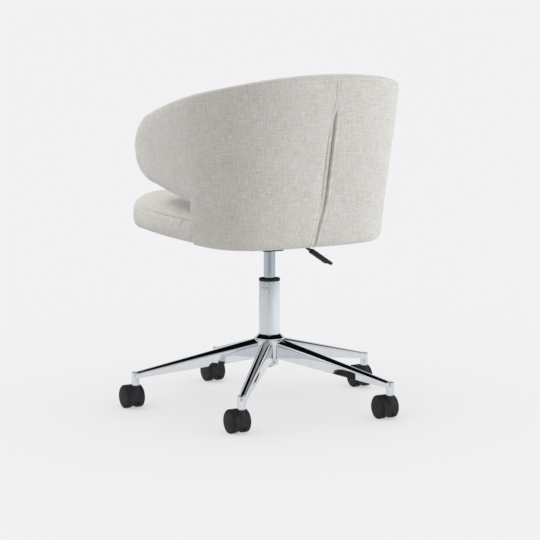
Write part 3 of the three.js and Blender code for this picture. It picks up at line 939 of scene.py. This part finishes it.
# (depth, share of the way from the slit to the fold, further off, half width)
PLEAT_FOLDS = [(2.4, 1, 0, 1.5), (0.8, 0.5, 0, 3.2), (-2, 0, -5, 2.6)]
SEAM_LINE = {"top": -9 * MM, "bottom": 9 * MM, "straight": 540 * MM}  # off the middle of the back
FELL = {"top": 794 * MM, "bottom": 722 * MM, "half": 3.6 * MM, "deep": 1.1 * MM}


def seam_depth(x, z):
    """How far the cloth is drawn in on the outer face of the back."""
    depth = 0.0
    x -= lerp(SEAM_LINE["bottom"], SEAM_LINE["top"], smoothstep(BOTTOM, SEAM_LINE["straight"], z))
    if abs(x) < 20 * MM:
        closed = smoothstep(PLEAT["top"] + 3 * MM, PLEAT["top"] - 4 * MM, z)
        down = clamp((PLEAT["top"] - z) / (PLEAT["top"] - BOTTOM))
        fold = lerp(1.5 * MM, lerp(PLEAT["fold"], PLEAT["foot"], down), smoothstep(0, 0.10, down))
        slit = PLEAT["slit"]
        depth += closed * lerp(PLEAT["deep"], PLEAT["shallow"], down) * bell(x - slit, 1.4 * MM)
        for deep, share, off, half in PLEAT_FOLDS:
            depth += closed * deep * MM * bell(x - lerp(slit, fold, share) - off * MM, half * MM)
        sewn = smoothstep(FELL["bottom"] - 6 * MM, FELL["bottom"] + 6 * MM, z)
        sewn *= smoothstep(FELL["top"] + 2 * MM, FELL["top"] - 2 * MM, z)
        lines = bell(x - FELL["half"], 1.0 * MM) + bell(x + FELL["half"], 1.0 * MM)
        depth += sewn * FELL["deep"] * (lines - 0.5 * bell(x, 2.6 * MM))
    return depth


def stitched(shell, rows):
    """Draws the seams in along the outer face of the blown skin."""
    done = []
    for i, row in enumerate(rows):
        into = inward(shell.stations[i])
        into.x *= -1 if shell.lengths[i] < 0 else 1
        high = shell.span(i)[1] + shell.shrink
        line = []
        for j, p in enumerate(row):
            if j <= OUTER_COLUMNS + 12 or j > len(row) - 5:
                depth = seam_depth(shell.lengths[i], p.z) * (1 if j <= OUTER_COLUMNS + 12 else 0.6)
                below_crest = bell(high - CREST_SEAM - p.z, 1.5 * MM)
                depth += 1.3 * MM * below_crest * smoothstep(0.34, 0.10, abs(shell.lengths[i]))
                p = p + into * depth
            line.append(p)
        done.append(line)
    return done


def make_shell():
    shell = Shell(SHRINK)
    count = len(shell.rows[0])
    kept_rows = thinned(len(shell.rows), 13 * MM, lambda i: shell.lengths[i])
    kept_columns = list(range(0, count, 2))
    bottom = range(count - BOTTOM_COLUMNS + 1, count)

    def held(i, j):
        sewn = 0.9 * bell(shell.lengths[i], 14 * MM) if j <= OUTER_COLUMNS else 0
        return 1.0 if j in bottom else max(sewn, FOAM_GRIP)

    rows = blown(shell.rows, kept_rows, kept_columns, held)
    rows = stitched(shell, rows)
    around = []
    for row in rows:
        total = [row[0].z]
        for a, b in zip(row, row[1:] + row[:1]):
            total.append(total[-1] + (b - a).length)
        around.append(total)
    piece = skin_mesh("barrel_shell", rows, lambda i, j: (shell.lengths[i], around[i][j]))
    modify(piece, "SUBSURF", levels=1, render_levels=1)
    smooth(piece, 60)
    dress(piece, "upholstery", "seat", "back_shell")


SEAT = {"front": -348 * MM, "corner": 70 * MM, "step": 45.5 * MM, "tuck": 54 * MM, "draw": 0.3}
SEAT_HEART = -60 * MM  # where the rings of its top and underside shrink to
SEAT_SEAM = 466 * MM
SEAT_DOME = {"rise": 5 * MM, "middle": -100 * MM, "half": 220 * MM, "deep": 270 * MM, "rings": 15}
SEAT_SKIN = 1.5 * MM
UNDERSIDE = (0.9, 0.6, 0.3, 0.1)  # how far in each ring of the underside lies
DART = {"y": 4 * MM, "slant": 0.35, "drop": 24 * MM, "deep": 4 * MM, "half": 2.8 * MM}
SIDE_SEAM = {"front": 0.3 * MM, "rear": 2.8 * MM, "from": -230 * MM, "to": -120 * MM, "half": 1.8 * MM}
# (drawn in, height) up the side of the seat
SEAT_SIDE = [
    (60, 411.6), (38, 411), (24, 411.3), (14, 413), (8, 416.5), (4, 421), (1.5, 427), (0, 434),
    (-0.5, 442), (-0.5, 450), (0, 457), (0.4, 461), (0.8, 463.5), (1.2, 465), (1.4, 466), (1.6, 467),
    (1.9, 468.5), (2.7, 471), (4.6, 475), (8, 479.5), (13.5, 484.5), (20.5, 489), (29, 493),
    (40, 496.3), (52, 498.6)]
# how far along its side each column of the seat stands, close together by the dart
SEAT_SIDE_STEPS = [k / 16 for k in range(1, 14)] + [13 / 16 + k / 96 for k in range(1, 19)]


def seat_ring(inset, z):
    """Outline of the seat, drawn in by inset: wide in front of the shell's foot, narrow inside it."""
    half = []
    radius = SEAT["corner"] - inset
    corner_y = SEAT["front"] + SEAT["corner"]
    corner_x = SIDE["low"] - CLOSING * corner_y ** 2 - SEAT["corner"]
    for k in range(7):
        half.append((corner_x * (k / 7), SEAT["front"] + inset))
    for k in range(10):
        turn = math.radians(-90 + 10 * k)
        half.append((corner_x + radius * math.cos(turn), corner_y + radius * math.sin(turn)))
    step = SEAT["step"] - inset
    for part in SEAT_SIDE_STEPS:
        y = lerp(corner_y, step - 1 * MM, part)
        half.append((SIDE["low"] - CLOSING * y ** 2 - inset, y))
    tuck = SEAT["tuck"] + SEAT["draw"] * inset
    wide, deep, n = across(SIDE, z) - tuck, across(BACK, z) - tuck, across(SQUARE, z)
    half.append((SIDE["low"] - CLOSING * step ** 2 - inset - 6 * MM, step))
    half.append((wide + 6 * MM, step))
    for angle in range(26, 90, 4):
        c, s = math.cos(math.radians(angle)), math.sin(math.radians(angle))
        reach = (c ** n + s ** n) ** (1 / n)
        half.append((wide * c / reach, max(deep * s / reach, step + 2 * MM)))
    half.append((0, deep))
    other = [(-x, y) for x, y in half[-2:0:-1]]
    return [AXIS + Vector((x, y, z)) for x, y in half + other]


def domed(spot, part):
    """Raises a spot of the seat's top by its share of the crown."""
    x, y = spot.x - AXIS.x, spot.y - AXIS.y
    wide = clamp(1 - (x / SEAT_DOME["half"]) ** 2)
    deep = clamp(1 - ((y - SEAT_DOME["middle"]) / SEAT_DOME["deep"]) ** 2)
    return spot + Vector((0, 0, SEAT_DOME["rise"] * wide * deep * part))


def seat_rows():
    rows = [seat_ring(inset * MM + SEAT_SKIN, z * MM) for inset, z in SEAT_SIDE]
    rim, floor = rows[-1], rows[0]
    over = Vector((0, SEAT_HEART, rim[0].z)) + AXIS
    for k in range(1, SEAT_DOME["rings"]):
        part = k / SEAT_DOME["rings"]
        rows.append([domed(p.lerp(over, part), smoothstep(0, 0.5, part)) for p in rim])
    below = Vector((0, SEAT_HEART, floor[0].z)) + AXIS
    return [[p.lerp(below, part) for p in floor] for part in UNDERSIDE] + rows


def side_seam_depth(offset):
    """How far the side seam of the seat draws the cloth in, most by the shell."""
    run = smoothstep(SIDE_SEAM["from"], SIDE_SEAM["to"], offset.y)
    depth = lerp(SIDE_SEAM["front"], SIDE_SEAM["rear"], run)
    return depth * bell(offset.z - SEAT_SEAM, SIDE_SEAM["half"])


def dart_depth(offset):
    below = SEAT_SEAM - offset.z
    if not 0 < below < DART["drop"] or abs(offset.x) < 0.15:
        return 0
    off_line = offset.y - DART["y"] + DART["slant"] * below
    return DART["deep"] * bell(off_line, DART["half"]) * (1 - below / DART["drop"])


def make_seat():
    rows = seat_rows()
    under = len(UNDERSIDE)
    count = len(rows[0])
    seam = under + [z for _, z in SEAT_SIDE].index(466)
    last = len(rows) - 1
    kept_rows = [i for i in range(last + 1) if i <= under + 6 or i % 2 == seam % 2 or i == last]

    def held(i, j):
        return 1.0 if i <= under + 5 else (0.9 if i == seam else FOAM_GRIP)

    rows = blown(rows, kept_rows, range(0, count, 2), held)
    sewn = []
    for i, row in enumerate(rows):
        line = []
        for p in row:
            offset = p - AXIS
            flat = Vector((offset.x, offset.y, 0)).normalized()
            depth = dart_depth(offset)
            if under < i < last + 2 - SEAT_DOME["rings"]:
                depth += side_seam_depth(offset)
            line.append(p - flat * depth)
        sewn.append(line)
    piece = skin_mesh("seat_pad", sewn)
    lay_weave(piece)
    modify(piece, "SUBSURF", levels=2, render_levels=2)
    smooth(piece, 60)
    dress(piece, "upholstery", "seat", "seat_cushion")


def lay_weave(piece):
    """Lays the weave flat on each face, seen along the axis that the face looks along most."""
    weave = piece.data.uv_layers["weave"].data
    for face in piece.data.polygons:
        n = [abs(c) for c in face.normal]
        u, v = ((0, 1) if n[2] >= max(n[0], n[1]) else (1, 2) if n[0] > n[1] else (0, 2))
        for k in face.loop_indices:
            co = piece.data.vertices[piece.data.loops[k].vertex_index].co
            weave[k].uv = (co[u], co[v])


make_shell()
make_seat()

# ---- Height lever ----
LEVER = {"z": 398 * MM, "r": 3.5 * MM, "bend": -72 * MM, "end": (-124 * MM, 363 * MM), "round": 12 * MM}
GRIP = {"length": 68 * MM, "width": 14 * MM, "thick": 11 * MM, "tab": 12 * MM, "step": 4 * MM,
        "seated": 10 * MM}
PIVOT_X = middle("lever_pivot").x - AXIS.x
PAN = {"wall": 2.5 * MM, "lift": 2.4 * MM, "draft": 0.95, "mouth": 14.6 * MM, "slot": 12 * MM}


def make_pan():
    """Open steel tray of the mechanism, with the mouth for the cylinder and the slot for the lever."""
    low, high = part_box("mechanism_pan")
    floor = low.z + PAN["lift"]
    pan = block("mechanism_tray", (low.x, low.y, floor), high)
    with editing(pan) as mesh:
        choose(mesh, "faces", facing((0, 0, 1)))
        bpy.ops.mesh.inset(thickness=PAN["wall"])
        extrude((0, 0, floor + PAN["wall"] - high.z))
        bpy.ops.mesh.select_all(action="DESELECT")
        choose(mesh, "faces", facing((0, 0, -1)))
        resize((PAN["draft"], PAN["draft"], 1), AXIS)
    mouth = cylinder("mouth", PAN["mouth"], low.z - 5 * MM, floor + 5 * MM, AXIS, 48)
    combine(pan, mouth, "DIFFERENCE")
    half = PAN["slot"] / 2
    bottom = (low.x - half, AXIS.y - half, LEVER["z"] - half)
    combine(pan, block("slot", bottom, (low.x + half, AXIS.y + half, 500 * MM)), "DIFFERENCE")
    soften(pan, 0.8 * MM, 2, 35)
    smooth(pan, 35)
    dress(pan, "black_steel", "seat", "mechanism_pan")


def make_lever():
    """Round bar drawn along the mechanism's cross axis, bent down towards its grip."""
    slope = math.atan2(LEVER["z"] - LEVER["end"][1], LEVER["bend"] - LEVER["end"][0])
    tangent = LEVER["round"] * math.tan(slope / 2)
    start = LEVER["bend"] + tangent
    bar = cross_cylinder("lever_bar", LEVER["r"], start, 6 * MM, 0, LEVER["z"], 24)
    run = math.hypot(LEVER["z"] - LEVER["end"][1], LEVER["bend"] - LEVER["end"][0]) - tangent
    steps = 8
    with editing(bar) as mesh:
        choose(mesh, "faces", facing((-1, 0, 0)))
        for _ in range(steps):
            extrude((0, 0, 0))
            bpy.ops.transform.rotate(value=slope / steps, orient_axis="Y", orient_type="GLOBAL",
                                     center_override=(start, 0, LEVER["z"] - LEVER["round"]))
        extrude((-run * math.cos(slope), 0, -run * math.sin(slope)))
    boss = cylinder("lever_eye", 5.5 * MM, -7 * MM, 7 * MM, sides=32)
    pivot = Matrix.Translation((PIVOT_X, 0, LEVER["z"]))
    boss.data.transform(pivot @ Matrix.Rotation(math.pi / 2, 4, "X"))
    combine(bar, boss)
    bar.data.transform(Matrix.Translation(AXIS))
    smooth(bar, 35)
    dress(bar, "black_steel", "lever", "lever_rod")
    make_grip(slope)


def make_grip(slope):
    """Flat paddle, drawn along +X, whose lower half stops short of its end and leaves a tab."""
    length, width, thick = GRIP["length"], GRIP["width"], GRIP["thick"]
    body = length - GRIP["tab"]
    grip = block("lever_paddle", (0, -width / 2, -thick / 2), (body - 2 * MM, width / 2, thick / 2))
    with editing(grip) as mesh:
        choose(mesh, "faces", facing((1, 0, 0)))
        extrude((2 * MM, 0, 0))
        resize((1, 1, 1 - GRIP["step"] / thick), (body, 0, -thick / 2))
        extrude((GRIP["tab"], 0, 0))
        bpy.ops.mesh.select_all(action="DESELECT")
        choose(mesh, "faces", facing((-1, 0, 0)))
        bpy.ops.mesh.inset(thickness=2.5 * MM)
        extrude((-5 * MM, 0, 0))
    soften(grip, 1.3 * MM, 3, 30)
    smooth(grip, 35)
    seat = AXIS + Vector((LEVER["end"][0], 0, LEVER["end"][1]))
    seat += GRIP["seated"] * Vector((math.cos(slope), 0, math.sin(slope)))
    grip.data.transform(Matrix.Translation(seat) @ Matrix.Rotation(math.pi - slope, 4, "Y"))
    dress(grip, "black_plastic", "lever", "lever_grip")


make_pan()
make_lever()

# ---- Casters ----
# Each is drawn with its stem on the local axis, its axle along X and its wheels trailing to -Y.
TRAIL = 20 * MM
WHEEL = {"r": 27 * MM, "inner": 7.6 * MM, "outer": 22 * MM, "rim": 24.6 * MM}
HOOD = {"r": 28.9 * MM, "room": 27.6 * MM, "web": 7 * MM, "half": 19.2 * MM, "low": 7 * MM,
        "rear": 33 * MM}
HOOD_NOTCH = {"half": 9 * MM, "top": 16 * MM}
BOSS = {"r": 8.6 * MM, "top": 56.8 * MM}


def upright_to_axle():
    """Turns a wheel drawn about +Z into its place on the axle."""
    return Matrix.Translation((0, -TRAIL, WHEEL["r"])) @ Matrix.Rotation(math.pi / 2, 4, "Y")


def make_wheel():
    wheel = cylinder("wheel", WHEEL["r"], WHEEL["inner"], WHEEL["outer"], sides=72)
    rim, disc = WHEEL["rim"], WHEEL["rim"] - 1.3 * MM
    with editing(wheel, "EDGE") as mesh:
        choose(mesh, "edges", lambda e: abs(e.verts[0].co.z - e.verts[1].co.z) < 1e-6)
        bpy.ops.mesh.bevel(offset=1.6 * MM, segments=4, affect="EDGES")
    flat = WHEEL["r"] - 1.6 * MM
    cap_profile(wheel, True, [
        (0, rim / flat), (-2.4 * MM, 1), (0, disc / rim), (2.2 * MM, 1), (0.6 * MM, 0.93),
        (0.6 * MM, 0.75), (0.4 * MM, 0.6), (0.15 * MM, 0.4)], (0, 0, 0))
    cap_profile(wheel, False, [(0, 0.8), (2 * MM, 0.96), (0, 0.4)], (0, 0, 0))
    soften(wheel, 0.25 * MM, 2, 50)
    wheel.data.transform(upright_to_axle())
    smooth(wheel, 30)
    return wheel


def make_hood():
    half, centre_y, centre_z = HOOD["half"], -TRAIL, WHEEL["r"]
    hood = cross_cylinder("hood", HOOD["r"], -half, half, centre_y, centre_z, 96)
    for side in (-1, 1):
        ends = sorted((side * HOOD["web"], side * (half + 5 * MM)))
        combine(hood, cross_cylinder("room", HOOD["room"], *ends, centre_y, centre_z, 96), "DIFFERENCE")
    wide, behind, ahead, under, notch = 40 * MM, -80 * MM, 30 * MM, -5 * MM, HOOD_NOTCH["half"]
    for low, high in (
            ((-wide, behind, under), (wide, ahead, HOOD["low"])),
            ((-wide, behind, under), (wide, centre_y - 21 * MM, HOOD["rear"])),
            ((-notch, centre_y + 20 * MM, under), (notch, ahead, HOOD_NOTCH["top"]))):
        combine(hood, block("cut", low, high), "DIFFERENCE")
    combine(hood, cylinder("boss", BOSS["r"], 36 * MM, BOSS["top"], sides=64))
    combine(hood, cylinder("socket", 5.7 * MM, 34 * MM, 70 * MM, sides=48), "DIFFERENCE")
    soften(hood, 0.5 * MM, 2, 45)
    smooth(hood, 35)
    return hood


def make_axle_cap():
    half = WHEEL["outer"] - 1 * MM
    return cross_cylinder("axle", 3.9 * MM, -half, half, -TRAIL, WHEEL["r"], 32)


def make_casters():
    hood, wheel, axle = make_hood(), make_wheel(), make_axle_cap()
    smooth(axle, 35)
    mirror = Matrix.Scale(-1, 4, (1, 0, 0))
    other = copied(wheel, "other_wheel", mirror)
    other.data.flip_normals()
    for i in range(1, LEGS + 1):
        post = post_place(i)
        place = Matrix.Translation((post.x, post.y, 0))
        hood_piece = copied(hood, f"twin_wheel_hood_{i}", place)
        dress(hood_piece, "black_plastic", f"caster_{i}", f"caster_hood_{i}")
        dress(copied(axle, f"axle_pin_{i}", place), "steel", f"caster_{i}", f"caster_axle_{i}")
        for side, pattern in (("left", wheel), ("right", other)):
            disc = copied(pattern, f"wheel_{side}_{i}", place)
            dress(disc, "black_plastic", f"wheel_{side}_{i}", f"caster_wheel_{side}_{i}")
    for pattern in (hood, wheel, other, axle):
        bpy.data.objects.remove(pattern)


make_casters()
